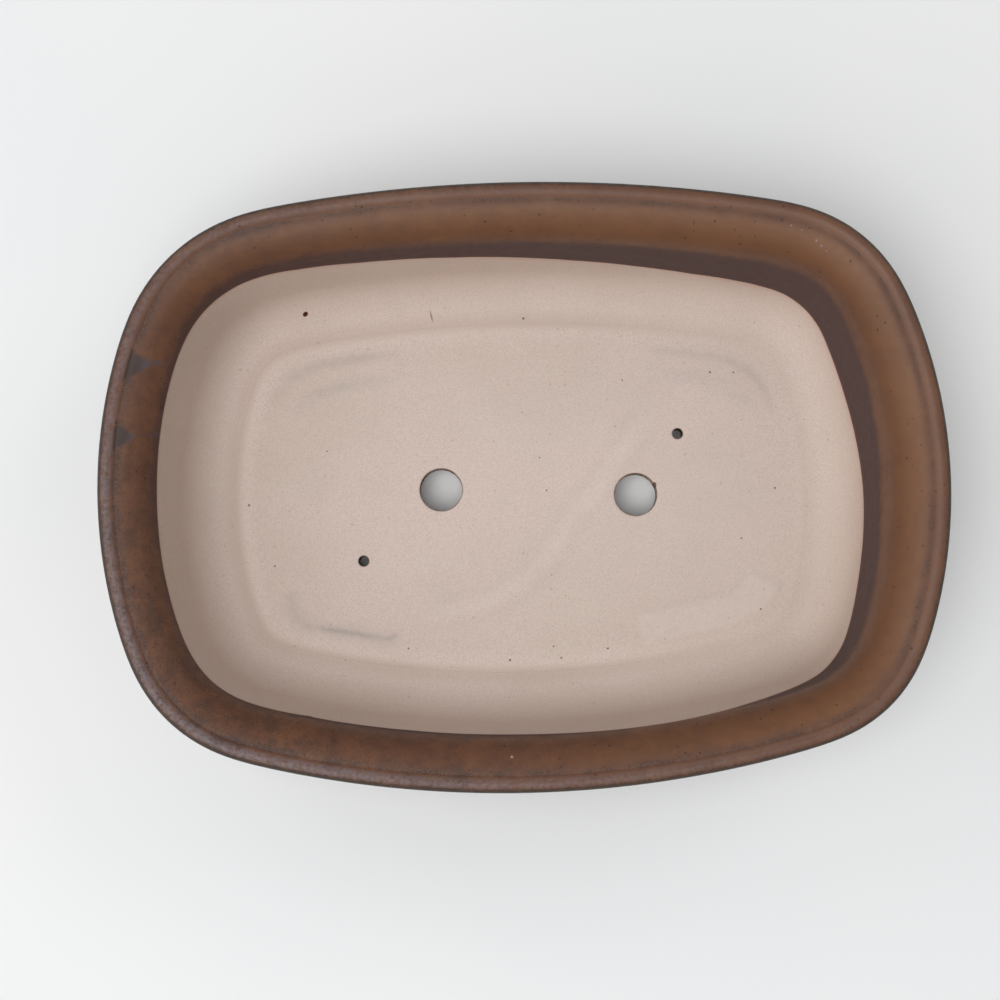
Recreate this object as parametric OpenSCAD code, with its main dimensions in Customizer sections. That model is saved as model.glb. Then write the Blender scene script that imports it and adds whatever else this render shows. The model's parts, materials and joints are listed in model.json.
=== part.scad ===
// Shallow stoneware bonsai pot: a soft-cornered tray with an outcurved, beaded lip,
// glaze inside the lip and down the outside, bare clay inside, and four bracket feet.
// Millimetres. The origin is the centre of the pot at table level, +X runs along the
// length, +Y to the back and +Z up. The outline is a closed chain of eight tangent
// arcs, a little uneven as a hand-pressed pot is, and one wall profile follows it.

/* [Outline over the lip] */
// Length over the lip, left to right
pot_length = 300; // [285:1:320]
// Width over the lip, front to back
pot_width = 215.6; // [205:0.2:226]
// Radius of the right-hand end
right_radius = 176; // [160:1:200]
// Radius of the left-hand end
left_radius = 175; // [160:1:200]
// Radius of the back side
back_radius = 508; // [400:1:620]
// Radius of the front side
front_radius = 379; // [330:1:520]
// Radius of the corner between the right-hand end and the back
back_right_corner = 56; // [52:1:64]
// Radius of the corner between the back and the left-hand end
back_left_corner = 62; // [52:1:64]
// Radius of the corner between the left-hand end and the front
front_left_corner = 57; // [52:1:64]
// Radius of the corner between the front and the right-hand end
front_right_corner = 55; // [52:1:64]
// How far the right-hand end's crown lies behind the centre line
right_crown = -2.8; // [-4:0.2:4]
// How far the left-hand end's crown lies behind the centre line
left_crown = 0; // [-4:0.2:4]
// How far the back's crown lies to the right of the centre line
back_crown = 7.4; // [-10:0.2:10]
// How far the front's crown lies to the right of the centre line
front_crown = -7.8; // [-10:0.2:10]

/* [Heights] */
// Height from the table to the top of the lip
pot_height = 75; // [70:1:90]
// Height of the feet
foot_height = 8; // [5:0.5:10]
// Thickness of the floor
floor_thickness = 7; // [6:0.5:9]

/* [Wall profile] */
// Distance from the lip's outer edge in to the seam between wall and floor
seam_inset = 41; // [39:0.5:43]
// Radius of the round bead along the lip, glaze included
bead_radius = 3.1; // [2.8:0.1:3.4]
// Distance from the lip's outer edge in to the groove inside the bead
groove_inset = 5.7; // [5.4:0.1:6]
// Depth of the groove below the top of the lip
groove_depth = 1.9; // [1.6:0.1:2.4]
// Thickness of the clay between the groove and the neck under the bead
lip_thickness = 4; // [3.5:0.1:4.5]
// Radius of the outcurved flare, inside
flare_radius_inside = 13; // [11:0.5:15]
// Radius of the outcurved flare, outside
flare_radius_outside = 9; // [8:0.5:10]
// Radius of the cove where the wall turns into the floor, inside
cove_radius = 18; // [15:0.5:20]
// Radius of the turn from the wall to the underside, outside
base_radius = 22; // [18:0.5:24]
// Distance from the lip's outer edge in to where the flat underside starts
base_inset = 37; // [35:0.5:38]

/* [Glaze] */
// Thickness of the glaze coats
glaze = 0.5; // [0.3:0.1:0.8]
// Depth of the inner glaze line below the lip, at the middle of the pot
glaze_line_depth = 29.5; // [25:0.5:33]
// Fall of the inner glaze line towards the right-hand end
glaze_line_fall = 5.4; // [0:0.2:6]
// Fall of the inner glaze line towards the back
glaze_line_fall_back = 2.6; // [0:0.2:4]
// Height above the table at which the outer glaze stops
outer_glaze_stop = 13; // [12:0.5:20]

/* [Holes] */
// Diameter of the two drain holes
drain_hole = 16; // [10:0.5:24]
// Left-hand drain hole's centre
left_drain = [-30.8, 2.6];
// Right-hand drain hole's centre
right_drain = [43.4, 0.8];
// Diameter of the two holes for the tie wire
wire_hole = 3.8; // [3:0.1:6]
// Back right-hand wire hole's centre
back_wire = [59.6, 24.2];
// Front left-hand wire hole's centre
front_wire = [-60.2, -24.6];

/* [Feet] */
// Width of a foot's bracket
foot_width = 11; // [8:0.5:13]
// Distance from the lip's outer edge in to a foot's outer side
foot_inset = 49; // [46:0.5:50]
// Distance from the centre line to the tip of a foot's long leg
foot_long_tip = 44; // [36:1:60]
// Distance from the centre line to the tip of a foot's short leg
foot_short_tip = 28; // [20:1:34]

/* [Hidden] */
$fn = 180;
clay_colour = [0.80, 0.73, 0.68];
far = 400;

// Outline: each side is [centre x, centre y, radius], in the order right-hand end,
// back, left-hand end, front; corner i joins side i to the side after it.
half_length = pot_length / 2;
half_width = pot_width / 2;
sides = [
    [half_length - right_radius, right_crown, right_radius],
    [back_crown, half_width - back_radius, back_radius],
    [left_radius - half_length, left_crown, left_radius],
    [front_crown, front_radius - half_width, front_radius]
];
corner_radii = [back_right_corner, back_left_corner, front_left_corner, front_right_corner];
function side_centre(i) = [sides[i][0], sides[i][1]];
function side_radius(i) = sides[i][2];

// Centre of the corner arc that touches sides i and i + 1 from inside
function corner_centre(i) =
    let (
        a = side_centre(i),
        b = side_centre((i + 1) % 4),
        reach_a = side_radius(i) - corner_radii[i],
        reach_b = side_radius((i + 1) % 4) - corner_radii[i],
        span = norm(b - a),
        along = (reach_a * reach_a - reach_b * reach_b + span * span) / (2 * span),
        off = sqrt(reach_a * reach_a - along * along),
        step = (b - a) / span
    )
    a + along * step + off * [-step[1], step[0]];

// Bearing of point b from point a, in degrees, and the turn from bearing p on to q
function bearing(a, b) = atan2(b[1] - a[1], b[0] - a[0]);
function turn(p, q) = (q - p + 720) % 360;

// Stations round the outline, as [centre, radius, bearing], close enough together
// that no chord lies further than chord_gap from its arc. Each side is split at its crown.
chord_gap = 0.2;
function fan(centre, r, from, span) =
    let (steps = ceil(r * span * PI / 180 / sqrt(8 * r * chord_gap)))
    [for (i = [0:steps - 1]) [centre, r, from + span * i / steps]];
function side_stations(i) =
    let (
        c = side_centre(i),
        r = side_radius(i),
        start = bearing(c, corner_centre((i + 3) % 4)),
        end = bearing(c, corner_centre(i))
    )
    concat(fan(c, r, start, turn(start, 90 * i)), fan(c, r, 90 * i, turn(90 * i, end)));
function corner_stations(i) =
    let (
        c = corner_centre(i),
        start = bearing(side_centre(i), c),
        end = bearing(side_centre((i + 1) % 4), c)
    )
    fan(c, corner_radii[i], start, turn(start, end));
stations = [for (i = [0:3]) each concat(side_stations(i), corner_stations(i))];

// A profile point, as [minus the distance in, height], carried to a station
function at_station(station, p) =
    let (reach = station[1] + p[0])
    [station[0][0] + reach * cos(station[2]), station[0][1] + reach * sin(station[2]), p[1]];
function outline(inset) =
    [for (s = stations) let (p = at_station(s, [-inset, 0])) [p[0], p[1]]];

// Wall profile, as points [minus the distance in from the lip's edge, height].
// The inside is a flare arc, a straight and a cove arc; so is the outside.
floor_top = foot_height + floor_thickness;
bead_clay = bead_radius - glaze;
bead_centre = [-bead_radius, pot_height - bead_radius];
groove_height = pot_height - groove_depth;
neck_height = groove_height - lip_thickness;
flare_in = [-groove_inset, groove_height - flare_radius_inside];
flare_out = [-bead_radius - 0.5, neck_height - flare_radius_outside];
cove_in = [-seam_inset, floor_top + cove_radius];
cove_out = [-base_inset, foot_height + base_radius];
coat_split = 28;
arc_step = 12;
bead_step = 20;

function polar(centre, r, degrees) = centre + r * [cos(degrees), sin(degrees)];
function arc_points(centre, r, from, to, most = arc_step) =
    let (steps = ceil(abs(to - from) / most))
    [for (i = [0:steps]) polar(centre, r, from + (to - from) * i / steps)];
function backwards(points) = [for (i = [len(points) - 1:-1:0]) points[i]];

// Bearing of the straight's normal, where one line touches the upper arc of radius r1
// about a and, from its other side, the lower arc of radius r2 about b
function straight_normal(a, r1, b, r2) =
    (bearing(a, b) - acos((r1 + r2) / norm(b - a)) + 360) % 360;
normal_in = straight_normal(flare_in, flare_radius_inside, cove_in, cove_radius);
normal_out = straight_normal(flare_out, flare_radius_outside, cove_out, base_radius);

// The lip bead's surface, grown by a coat's thickness, between two bearings
function bead_line(grow, from, to) =
    arc_points(bead_centre, bead_clay + grow, from, to, bead_step);

// Bearing on the bead at which it meets the groove
function groove_bearing(grow) =
    180 - asin((groove_height + grow - bead_centre[1]) / (bead_clay + grow));

// The flares, from the groove or the neck down to the straights
function flare_inside(grow) =
    arc_points(flare_in, flare_radius_inside + grow, 90, normal_in);
function flare_outside(grow) =
    arc_points(flare_out, flare_radius_outside - grow, 90, normal_out);

// The turns at the bottom, from the straights down to a bearing
function cove(end) = arc_points(cove_in, cove_radius, normal_in + 180, end);
function base(grow, end) = arc_points(cove_out, base_radius + grow, normal_out + 180, end);

// Point at a height on the straight or on the cove, inside
function inside_at(height, grow) =
    let (
        top = polar(flare_in, flare_radius_inside + grow, normal_in),
        foot = polar(cove_in, cove_radius - grow, normal_in + 180),
        drop = min(height - cove_in[1], 0)
    )
    (height > foot[1])
        ? top + (foot - top) * (top[1] - height) / (top[1] - foot[1])
        : [cove_in[0] + sqrt(pow(cove_radius - grow, 2) - drop * drop), height];

// Closed sections. The bead and the wall meet on a line from the groove to the neck.
bead_bottom = -90;
arc_bottom = 270;
outer_coat_end = 360 - asin((cove_out[1] - outer_glaze_stop) / base_radius);
lip_section = concat(
    bead_line(0, groove_bearing(0), bead_bottom),
    [flare_outside(0)[0], flare_inside(0)[0]]
);
wall_section = concat(
    flare_inside(0),
    cove(arc_bottom),
    [[-seam_inset, foot_height]],
    backwards(base(0, arc_bottom)),
    backwards(flare_outside(0))
);
function outer_surface(grow) = concat(
    bead_line(grow, coat_split, bead_bottom),
    flare_outside(grow),
    base(grow, outer_coat_end)
);
function inner_surface(grow, stop) = concat(
    bead_line(grow, coat_split, groove_bearing(grow)),
    flare_inside(grow),
    [inside_at(stop, grow)]
);
outer_coat_section = concat(outer_surface(glaze), backwards(outer_surface(0)));

// The inner coat stops on a tilted plane, so its section differs from place to place
function glaze_line_height(p) =
    pot_height - glaze_line_depth - p[0] * tan(glaze_line_fall) - p[1] * tan(glaze_line_fall_back);
function inner_coat_section(station) =
    let (stop = glaze_line_height(at_station(station, [-seam_inset / 2, 0])))
    concat(inner_surface(glaze, stop), backwards(inner_surface(0, stop)));

module at(point) { translate([point[0], point[1]]) children(); }
module disc(centre, r) { at(centre) circle(r = r); }

// Carries a closed section round the whole outline; sections holds one per station
module sweep(sections) {
    count = len(sections[0]);
    rounds = len(stations);
    polyhedron(
        points = [for (i = [0:rounds - 1]) for (p = sections[i]) at_station(stations[i], p)],
        faces = [
            for (i = [0:rounds - 1])
                for (j = [0:count - 1])
                    let (here = i * count, next = ((i + 1) % rounds) * count, k = (j + 1) % count)
                    [here + j, here + k, next + k, next + j]
        ],
        convexity = 6
    );
}
module sweep_alike(section) { sweep([for (s = stations) section]); }

module floor_slab() {
    color(clay_colour) difference() {
        translate([0, 0, foot_height]) linear_extrude(floor_thickness) polygon(outline(seam_inset));
        for (hole = [left_drain, right_drain]) bore(hole, drain_hole);
        for (hole = [back_wire, front_wire]) bore(hole, wire_hole);
    }
}

module bore(centre, diameter) {
    at(centre) cylinder(d = diameter, h = floor_top + 10);
}

module wall_shell() {
    color(clay_colour) sweep_alike(wall_section);
}

module rim_coil() {
    color(clay_colour) sweep_alike(lip_section);
}

module inner_glaze() {
    color([0.44, 0.30, 0.21]) sweep([for (s = stations) inner_coat_section(s)]);
}

module outer_glaze() {
    color([0.20, 0.17, 0.14]) sweep_alike(outer_coat_section);
}

// A bracket foot at one corner of the base, its two legs following the sides
module foot(across, back, long_side, short_side) {
    color(clay_colour) linear_extrude(foot_height) {
        intersection() {
            difference() {
                polygon(outline(foot_inset));
                inner_corner(foot_inset + foot_width);
            }
            translate([across * foot_long_tip, back * foot_short_tip])
                scale([across, back]) square([far, far]);
        }
        disc(foot_tip(long_side, 0, across * foot_long_tip), foot_width / 2);
        disc(foot_tip(short_side, 1, back * foot_short_tip), foot_width / 2);
    }
}

// The space inside the feet, moved in past the corners' own radii
module inner_corner(inset) {
    intersection_for (i = [0:3]) disc(side_centre(i), side_radius(i) - inset);
}

// Point on the middle of a foot's leg under side i, where coordinate axis is at value
function foot_tip(i, axis, value) =
    let (
        r = side_radius(i) - foot_inset - foot_width / 2,
        along = value - side_centre(i)[axis],
        outward = (i < 2) ? 1 : -1,
        across = side_centre(i)[1 - axis] + outward * sqrt(r * r - along * along)
    )
    (axis == 0) ? [value, across] : [across, value];

module foot_front_left() { foot(-1, -1, 3, 2); }
module foot_front_right() { foot(1, -1, 3, 0); }
module foot_back_left() { foot(-1, 1, 1, 2); }
module foot_back_right() { foot(1, 1, 1, 0); }

floor_slab();
wall_shell();
rim_coil();
inner_glaze();
outer_glaze();
foot_front_left();
foot_front_right();
foot_back_left();
foot_back_right();
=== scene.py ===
import json
import math

import bpy
import numpy as np
from mathutils import Matrix, Vector, geometry, noise


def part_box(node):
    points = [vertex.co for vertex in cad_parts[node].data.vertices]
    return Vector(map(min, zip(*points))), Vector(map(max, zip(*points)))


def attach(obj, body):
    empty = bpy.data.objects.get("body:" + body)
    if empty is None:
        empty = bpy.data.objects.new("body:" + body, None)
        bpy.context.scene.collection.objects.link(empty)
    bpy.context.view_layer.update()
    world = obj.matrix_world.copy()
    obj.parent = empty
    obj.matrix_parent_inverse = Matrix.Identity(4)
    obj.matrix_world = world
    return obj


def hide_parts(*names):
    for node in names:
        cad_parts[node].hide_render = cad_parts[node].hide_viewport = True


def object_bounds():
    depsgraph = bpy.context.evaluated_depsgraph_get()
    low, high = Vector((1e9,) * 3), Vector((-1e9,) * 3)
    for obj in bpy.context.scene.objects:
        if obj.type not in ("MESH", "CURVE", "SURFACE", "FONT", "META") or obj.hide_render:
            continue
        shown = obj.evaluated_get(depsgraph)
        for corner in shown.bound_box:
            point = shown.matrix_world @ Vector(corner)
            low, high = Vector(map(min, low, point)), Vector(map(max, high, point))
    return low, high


# Looks of a shallow stoneware bonsai pot: bare clay inside, glazed lip and outside.
# Shapes are worked out in millimetres in the CAD frame and turned into metres at the end.

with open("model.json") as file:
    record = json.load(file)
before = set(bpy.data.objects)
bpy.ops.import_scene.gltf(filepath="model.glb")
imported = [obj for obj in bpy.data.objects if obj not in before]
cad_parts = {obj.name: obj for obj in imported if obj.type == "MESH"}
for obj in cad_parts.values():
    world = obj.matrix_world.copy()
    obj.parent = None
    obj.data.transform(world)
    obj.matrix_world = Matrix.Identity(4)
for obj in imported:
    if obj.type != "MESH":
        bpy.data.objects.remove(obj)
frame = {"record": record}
cad_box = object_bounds()
MM = 0.001

# ---------------------------------------------------------------- driving dimensions
POT_LENGTH = (cad_box[1][0] - cad_box[0][0]) / MM
POT_WIDTH = (cad_box[1][1] - cad_box[0][1]) / MM
POT_HEIGHT = cad_box[1][2] / MM
FLOOR_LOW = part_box("floor_slab")[0][2] / MM
FLOOR_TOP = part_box("floor_slab")[1][2] / MM

# The outline: side arcs in the order right, back, left, front, where each side's crown lies
# off the middle, and the corners after each side. BLEND is how far the arcs are rubbed into
# each other.
SIDE_RADII = (174.0, 528.0, 177.0, 386.0)
CROWNS = (-0.9, 7.9, 1.1, -7.8)
CORNER_RADII = (53.0, 61.7, 55.3, 50.4)
BLEND = 8.0

# The wall's section: insets are from the lip's outer edge, depths from its top
SEAM_INSET = 41.0
BEAD_RADIUS = 3.1
GROOVE_INSET = 5.7
GROOVE_DEPTH = 1.9
LIP_THICKNESS = 4.0
FLARE_IN_RADIUS = 13.0
FLARE_OUT_RADIUS = 9.0
COVE_RADIUS = 18.0
BASE_RADIUS = 22.0
BASE_INSET = 37.0
COVE_EASE = 3.2
NECK_OFFSET = 0.5
WALL_WAVER = 0.28

# The two coats of glaze: their thickness, the bearing on the bead where they meet, and the
# height above the table at which the outer one stops
COAT = 0.5
COAT_SPLIT = 28.0
OUTER_COAT_STOP = 13.0

# The inner glaze line's depth below the lip, at bearings every 30 degrees from +X
LINE_DEPTHS = (43.0, 46.6, 40.4, 31.8, 23.2, 15.2, 14.5, 14.6, 18.5, 18.8, 17.0, 37.0)

# Where along the front the glaze line has a small step
NOTCH = -75.0

# How far from the lip, along the glaze, it breaks to purple; at bearings every 45 degrees
BREAKS = (34.0, 29.5, 25.0, 20.5, 20.5, 23.5, 23.0, 28.0)

# How much the glaze is mottled dark, from 0 to 1; at bearings every 45 degrees
MOTTLES = (0.12, 0.10, 0.22, 0.42, 0.8, 1.0, 0.6, 0.25)

# Runs of dark glaze at the left: place front to back, reach from the lip, and half width
RUNS = ((42.2, 13.0, 6.0), (16.3, 12.6, 5.4))

# Mesh spacings
STATION_STEP = 1.35
PROFILE_STEP = 0.42
FLOOR_STEP = 1.05

# What the materials read as out of reach of the glaze line, and of any hole
LINE_FAR = 60.0
HOLE_FAR = 40.0


# ---------------------------------------------------------------- outline
def side_circles():
    """Centre and radius of the right, back, left and front arcs."""
    a, b = POT_LENGTH / 2, POT_WIDTH / 2
    r = SIDE_RADII
    return [
        (np.array([a - r[0], CROWNS[0]]), r[0]),
        (np.array([CROWNS[1], b - r[1]]), r[1]),
        (np.array([r[2] - a, CROWNS[2]]), r[2]),
        (np.array([CROWNS[3], r[3] - b]), r[3]),
    ]


def bearing(a, b):
    return math.atan2(b[1] - a[1], b[0] - a[0])


def corner_centre(i):
    """Centre of the arc that touches sides i and i + 1 from inside."""
    (a, ra), (b, rb) = SIDES[i], SIDES[(i + 1) % 4]
    ra, rb = ra - CORNER_RADII[i], rb - CORNER_RADII[i]
    span = np.hypot(*(b - a))
    along = (ra * ra - rb * rb + span * span) / (2 * span)
    step = (b - a) / span
    return a + along * step + math.sqrt(ra * ra - along * along) * np.array([-step[1], step[0]])


def chain_arcs():
    """The eight arcs as (centre, radius, start bearing, turn)."""
    arcs = []
    for i in range(4):
        side, r = SIDES[i]
        start = bearing(side, CORNERS[i - 1])
        end = bearing(side, CORNERS[i])
        arcs.append((side, r, start, (end - start) % math.tau))
        start = end
        end = bearing(SIDES[(i + 1) % 4][0], CORNERS[i])
        arcs.append((CORNERS[i], CORNER_RADII[i], start, (end - start) % math.tau))
    return arcs


SIDES = side_circles()
CORNERS = [corner_centre(i) for i in range(4)]
ARCS = chain_arcs()


def blended_outline(step=0.5):
    """The chain of arcs as evenly spread points, rubbed smooth and fitted to the CAD's size."""
    points = []
    for c, r, start, turn in ARCS:
        t = start + turn * np.arange(0, 1, step / (r * turn))
        points.append(c + r * np.stack([np.cos(t), np.sin(t)], 1))
    points = np.vstack(points)
    wave = np.fft.fftfreq(len(points), step)[:, None]
    fade = np.exp(-2 * (np.pi * wave * BLEND) ** 2)
    points = np.real(np.fft.ifft(np.fft.fft(points, axis=0) * fade, axis=0))
    low, high = points.min(0), points.max(0)
    return (points - (low + high) / 2) * np.array([POT_LENGTH, POT_WIDTH]) / (high - low)


def outward(points):
    along = np.roll(points, -1, 0) - np.roll(points, 1, 0)
    along /= np.hypot(*along.T)[:, None]
    return np.stack([along[:, 1], -along[:, 0]], 1)


OUTLINE = blended_outline()
OUTWARD = outward(OUTLINE)


class Round:
    """Stations round the outline: where each section of the pot stands."""

    def __init__(self, step):
        length = 0.5 * len(OUTLINE)
        self.count = round(length / step)
        pick = np.arange(self.count) * len(OUTLINE) // self.count
        self.edge, self.out = OUTLINE[pick], OUTWARD[pick]

    def outline(self, inset):
        return self.edge - inset * self.out

    def carry(self, x, z):
        """Points at x (minus the inset) and height z; both are stations by profile points."""
        flat = self.edge[:, None, :] + x[..., None] * self.out[:, None, :]
        return np.concatenate([flat, z[..., None]], 2)


def inset_of(points):
    """How far each 2D point lies in from the lip's edge."""
    edge, out = OUTLINE[::2], OUTWARD[::2]
    found = []
    for part in np.array_split(np.asarray(points, float), max(1, len(points) // 2000)):
        gap = part[:, None, :] - edge[None]
        nearest = (gap**2).sum(2).argmin(1)
        rows = np.arange(len(part))
        found.append(-(gap[rows, nearest] * out[nearest]).sum(1))
    return np.concatenate(found)


def round_value(values, angles):
    """A smooth closed curve through evenly spread values, read at the given bearings."""
    count = len(values)
    place = (angles % math.tau) / math.tau * count
    low = np.floor(place).astype(int)
    t = place - low
    v = [np.take(values, (low + k) % count) for k in (-1, 0, 1, 2)]
    slope_a, slope_b = (v[2] - v[0]) / 2, (v[3] - v[1]) / 2
    return (
        (2 * t**3 - 3 * t**2 + 1) * v[1]
        + (t**3 - 2 * t**2 + t) * slope_a
        + (3 * t**2 - 2 * t**3) * v[2]
        + (t**3 - t**2) * slope_b
    )


# ---------------------------------------------------------------- wall section
def arc(centre, r, start, end, step=0.15):
    count = max(2, math.ceil(abs(end - start) * r / step))
    t = np.linspace(start, end, count + 1)
    return np.array(centre) + r * np.stack([np.cos(t), np.sin(t)], 1)


def straight_normal(a, r1, b, r2):
    reach = math.hypot(b[0] - a[0], b[1] - a[1])
    return (bearing(a, b) - math.acos((r1 + r2) / reach)) % math.tau


BEAD_CLAY = BEAD_RADIUS - COAT
BEAD = np.array([-BEAD_RADIUS, POT_HEIGHT - BEAD_RADIUS])
GROOVE_HEIGHT = POT_HEIGHT - GROOVE_DEPTH
FLARE_IN = np.array([-GROOVE_INSET, GROOVE_HEIGHT - FLARE_IN_RADIUS])
FLARE_OUT = np.array([
    -BEAD_RADIUS - NECK_OFFSET, GROOVE_HEIGHT - LIP_THICKNESS - FLARE_OUT_RADIUS,
])
COVE_IN = np.array([-SEAM_INSET, FLOOR_TOP + COVE_RADIUS])
COVE_OUT = np.array([-BASE_INSET, FLOOR_LOW + BASE_RADIUS])
NORMAL_IN = straight_normal(FLARE_IN, FLARE_IN_RADIUS, COVE_IN, COVE_RADIUS)
NORMAL_OUT = straight_normal(FLARE_OUT, FLARE_OUT_RADIUS, COVE_OUT, BASE_RADIUS)
QUARTER = math.pi / 2


def respaced(line, step):
    """The same line with points evenly spread, and each point's distance along it."""
    along = np.concatenate([[0], np.cumsum(np.hypot(*np.diff(line, axis=0).T))])
    count = max(2, round(along[-1] / step))
    s = np.linspace(0, along[-1], count + 1)
    return np.stack([np.interp(s, along, line[:, k]) for k in (0, 1)], 1), s


def softened(line, width, step=0.1):
    """Rounds a line's sharp turns off over about the given width, ends kept."""
    fine, s = respaced(line, step)
    reach = int(3 * width / step)
    weight = np.exp(-0.5 * (np.arange(-reach, reach + 1) * step / width) ** 2)
    weight /= weight.sum()
    padded = np.vstack([
        2 * fine[0] - fine[reach:0:-1],
        fine,
        2 * fine[-1] - fine[-2:-reach - 2:-1],
    ])
    return np.stack([np.convolve(padded[:, k], weight, "valid") for k in (0, 1)], 1)


def inside_run():
    """The inside from the groove down the wall and on over the floor, with an easy cove."""
    flare = arc(FLARE_IN, FLARE_IN_RADIUS, QUARTER, NORMAL_IN)
    cove = arc(COVE_IN, COVE_RADIUS, NORMAL_IN + math.pi, 3 * QUARTER)
    over_floor = cove[-1:] - np.array([[14.0, 0.0]])
    return np.vstack([flare, softened(np.vstack([flare[-1:], cove, over_floor]), COVE_EASE)[1:]])


def toe_rise(gap):
    """How far the cove still stands above the floor's plane, past the seam."""
    run = inside_run()[::-1]
    return np.interp(-SEAM_INSET - gap, run[:, 0], run[:, 1]) - FLOOR_TOP


def inside_line():
    """The inside of the wall, from the groove down to the seam."""
    line = inside_run()
    seam = [-SEAM_INSET, FLOOR_TOP + float(toe_rise(0.0))]
    return np.vstack([line[line[:, 0] > -SEAM_INSET + 0.01], seam])


def outside_line():
    """The outside of the wall, from the neck under the bead down to the underside."""
    flare = arc(FLARE_OUT, FLARE_OUT_RADIUS, QUARTER, NORMAL_OUT)
    base = arc(COVE_OUT, BASE_RADIUS, NORMAL_OUT + math.pi, 3 * QUARTER)
    return np.vstack([flare, base])


def bead_arc(start, end):
    return arc(BEAD, BEAD_CLAY, start, end)


def groove_bearing():
    """Bearing on the bead at which it meets the groove."""
    return math.pi - math.asin((GROOVE_HEIGHT - BEAD[1]) / BEAD_CLAY)


class Surface:
    """A section line that points can be read from by distance along it."""

    def __init__(self, line, flip):
        self.line, self.s = respaced(line, 0.1)
        self.length = self.s[-1]
        along = np.gradient(self.line, self.s, axis=0)
        along /= np.hypot(*along.T)[:, None]
        self.normal = np.stack([along[:, 1], -along[:, 0]], 1) * (-1 if flip else 1)

    def at(self, s, lift):
        """x and z at distances s, lifted off the surface by lift."""
        def read(values):
            return np.interp(s, self.s, values)

        x = read(self.line[:, 0]) + lift * read(self.normal[:, 0])
        z = read(self.line[:, 1]) + lift * read(self.normal[:, 1])
        return x, z

    def where_height(self, heights):
        """Distance along at which the line last falls through each height."""
        order = np.argmax(self.line[:, 1])
        tail = slice(order, None)
        return np.interp(-heights, -self.line[tail, 1], self.s[tail])


# ---------------------------------------------------------------- mesh helpers
def value_noise(points, scale, seed=0.0):
    """Smooth noise from -1 to 1 at points in millimetres; scale is the feature size."""
    shift = Vector((seed * 17.3, seed * 5.9, seed * 9.1))
    return np.array([noise.noise(Vector(p) / scale + shift) for p in points])


def make_object(name, verts, faces, smooth=True):
    mesh = bpy.data.meshes.new(name)
    mesh.from_pydata([tuple(v) for v in np.asarray(verts) * MM], [], faces)
    mesh.validate()
    obj = bpy.data.objects.new(name, mesh)
    bpy.context.scene.collection.objects.link(obj)
    mesh.polygons.foreach_set("use_smooth", [smooth] * len(mesh.polygons))
    return obj


def give(obj, name, values):
    """Stores one number a vertex for the materials to read."""
    layer = obj.data.attributes.new(name, "FLOAT", "POINT")
    layer.data.foreach_set("value", np.asarray(values, np.float32))


def crease(obj, flags):
    """Keeps the shading apart along edges whose two ends carry the same flag above 0."""
    ends = np.empty(len(obj.data.edges) * 2, int)
    obj.data.edges.foreach_get("vertices", ends)
    ends = np.asarray(flags)[ends.reshape(-1, 2)]
    sharp = (ends[:, 0] == ends[:, 1]) & (ends[:, 0] > 0)
    layer = obj.data.attributes.new("sharp_edge", "BOOLEAN", "EDGE")
    layer.data.foreach_set("value", sharp)


def loop_faces(rounds, count):
    """Quads of a closed section of count points carried all the way round."""
    faces = []
    for i in range(rounds):
        here, after = i * count, (i + 1) % rounds * count
        for j in range(count):
            k = (j + 1) % count
            faces.append((here + j, after + j, after + k, here + k))
    return faces


def swell(values, centre, width):
    """A smooth hump of height 1 at the centre."""
    return np.exp(-(((values - centre) / width) ** 2))


def ease(t):
    """0 below 0, 1 above 1, and smooth between."""
    t = np.clip(t, 0, 1)
    return t * t * (3 - 2 * t)


# ---------------------------------------------------------------- wall
def build_wall(ring):
    """The clay wall from the groove round to the neck, closed, with a pressed-in look."""
    inner, _ = respaced(inside_line(), 0.7)
    outer, _ = respaced(outside_line()[::-1], 1.4)
    toe = np.array([[-SEAM_INSET, FLOOR_TOP - 3.0], [-SEAM_INSET, FLOOR_LOW + 0.01]])
    section = np.vstack([inner, toe, outer])
    count = len(section)
    x = np.tile(section[:, 0], (ring.count, 1))
    z = np.tile(section[:, 1], (ring.count, 1))
    seam_gap = SEAM_INSET + inner[:, 0]
    waver = value_noise(ring.carry(x, z)[:, :len(inner)].reshape(-1, 3), 34.0, 1.0)
    waver = waver.reshape(ring.count, len(inner))
    bare = ease((POT_HEIGHT - inner[:, 1] - 10.0) / 12.0)
    slope = np.gradient(inner, axis=0)
    slope /= np.hypot(*slope.T)[:, None]
    seam_x = ring.outline(SEAM_INSET)[:, :1]
    lift = WALL_WAVER * waver * bare * ease(seam_gap / 6.0) - seam_dip(-seam_gap, seam_x)
    x[:, :len(inner)] += slope[:, 1] * lift
    z[:, :len(inner)] -= slope[:, 0] * lift
    points = ring.carry(x, z).reshape(-1, 3)
    obj = make_object("clay_wall", points, loop_faces(ring.count, count))
    flags = np.zeros(count, int)
    flags[len(inner) - 1:len(inner) + 3] = (1, 2, 3, 4)
    crease(obj, np.tile(flags, ring.count))
    give(obj, "line_gap", line_gap(ring, x, z).ravel())
    give(obj, "climb", np.tile(SEAM_INSET + section[:, 0], ring.count))
    give(obj, "seam", np.repeat(seam_share(seam_x), count))
    give(obj, "smear_and_painted_light", np.zeros(len(points)))
    give(obj, "hole_gap", np.full(len(points), HOLE_FAR))
    return obj


def bearings(ring):
    """Each station's bearing from the middle, with the oval squashed to a circle."""
    line = ring.outline(20)
    return np.arctan2(line[:, 1] / POT_WIDTH, line[:, 0] / POT_LENGTH)


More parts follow.
